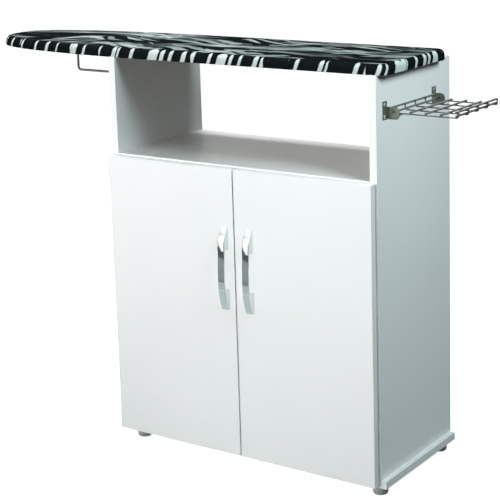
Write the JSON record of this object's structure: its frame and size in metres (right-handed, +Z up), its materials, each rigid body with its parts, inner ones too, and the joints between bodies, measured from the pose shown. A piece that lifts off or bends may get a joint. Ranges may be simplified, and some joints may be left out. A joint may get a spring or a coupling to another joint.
{
  "type": "ironing cabinet",
  "caption": "White cupboard with hinged doors, an open niche, a padded ironing board fixed on top, a clothes rail under its nose and a folding wire rack for the iron.",
  "frame": {"origin": "on the floor under the middle of the cupboard, halfway across and halfway back", "axes": "+X along the board towards its square end and the iron rack, +Y from the doors to the back, +Z up"},
  "size_m": [1.1456, 0.3255, 0.839],
  "materials": {
    "white_laminate": "chipboard faced and edged with smooth satin white laminate",
    "white_backing_board": "thin hardboard painted white",
    "zinc_steel": "bright zinc plating",
    "hinge_steel": "nickel-plated pressed steel",
    "grey_plastic": "moulded plastic, matt grey",
    "raw_chipboard": "uncoated chipboard",
    "foam": "thin open-cell foam",
    "printed_cloth": "woven cotton printed with off-white leaves and stripes on black",
    "rail_chrome": "bright chrome",
    "handle_chrome": "satin chrome",
    "bracket_steel": "pressed steel, dark grey",
    "rack_wire": "drawn wire, dull chrome",
    "clear_bumper": "soft translucent bumper"
  },
  "bodies": {
    "cabinet": {"left_side_panel": "white_laminate", "right_side_panel": "white_laminate", "base_panel": "white_laminate", "niche_shelf": "white_laminate", "loose_shelf": "white_laminate", "back_sheet": "white_backing_board", "shelf_pins": "zinc_steel", "cam_nuts": "zinc_steel", "cam_bolts": "zinc_steel", "base_screws": "zinc_steel", "back_sheet_nails": "zinc_steel", "foot_front_left": "grey_plastic", "foot_front_right": "grey_plastic", "foot_rear_left": "grey_plastic", "foot_rear_right": "grey_plastic", "foot_screws": "zinc_steel", "board_core": "raw_chipboard", "foam_pad": "foam", "cloth_cover": "printed_cloth", "cover_staples": "zinc_steel", "board_screws": "zinc_steel", "clothes_rail": "rail_chrome", "rail_side_flange": "rail_chrome", "rail_board_flange": "rail_chrome", "rail_screws": "zinc_steel", "rack_bracket_front": "bracket_steel", "rack_bracket_rear": "bracket_steel", "rack_bracket_screws": "zinc_steel", "hinge_plate_left_upper": "hinge_steel", "hinge_plate_left_lower": "hinge_steel", "hinge_plate_right_upper": "hinge_steel", "hinge_plate_right_lower": "hinge_steel", "hinge_arm_left_upper": "hinge_steel", "hinge_arm_left_lower": "hinge_steel", "hinge_arm_right_upper": "hinge_steel", "hinge_arm_right_lower": "hinge_steel", "hinge_plate_screws": "zinc_steel", "hinge_arm_screws": "zinc_steel", "door_buffers": "clear_bumper"},
    "left_leaf": {"left_door": "white_laminate", "left_handle": "handle_chrome", "left_handle_screws": "zinc_steel", "left_hinge_pins": "zinc_steel", "left_cup_screws": "zinc_steel", "hinge_cup_left_upper": "hinge_steel", "hinge_cup_left_lower": "hinge_steel"},
    "right_leaf": {"right_door": "white_laminate", "right_handle": "handle_chrome", "right_handle_screws": "zinc_steel", "right_hinge_pins": "zinc_steel", "right_cup_screws": "zinc_steel", "hinge_cup_right_upper": "hinge_steel", "hinge_cup_right_lower": "hinge_steel"},
    "folding_rack": {"rack_pivot_rod": "rack_wire", "rack_long_rods": "rack_wire", "rack_rim_rods": "rack_wire", "rack_cross_wires": "rack_wire"}
  },
  "joints": [
    {"name": "left_door_hinge", "type": "hinge", "parent": "cabinet", "child": "left_leaf", "pos_m": [-0.3049, -0.1571, 0.32075], "axis": [0, 0, -1], "range_deg": [0, 95]},
    {"name": "right_door_hinge", "type": "hinge", "parent": "cabinet", "child": "right_leaf", "pos_m": [0.3049, -0.1571, 0.32075], "axis": [0, 0, 1], "range_deg": [0, 95]},
    {"name": "rack_fold", "type": "hinge", "parent": "cabinet", "child": "folding_rack", "pos_m": [0.331, -0.0185, 0.747], "axis": [0, -1, 0], "range_deg": [0, 80]}
  ]
}
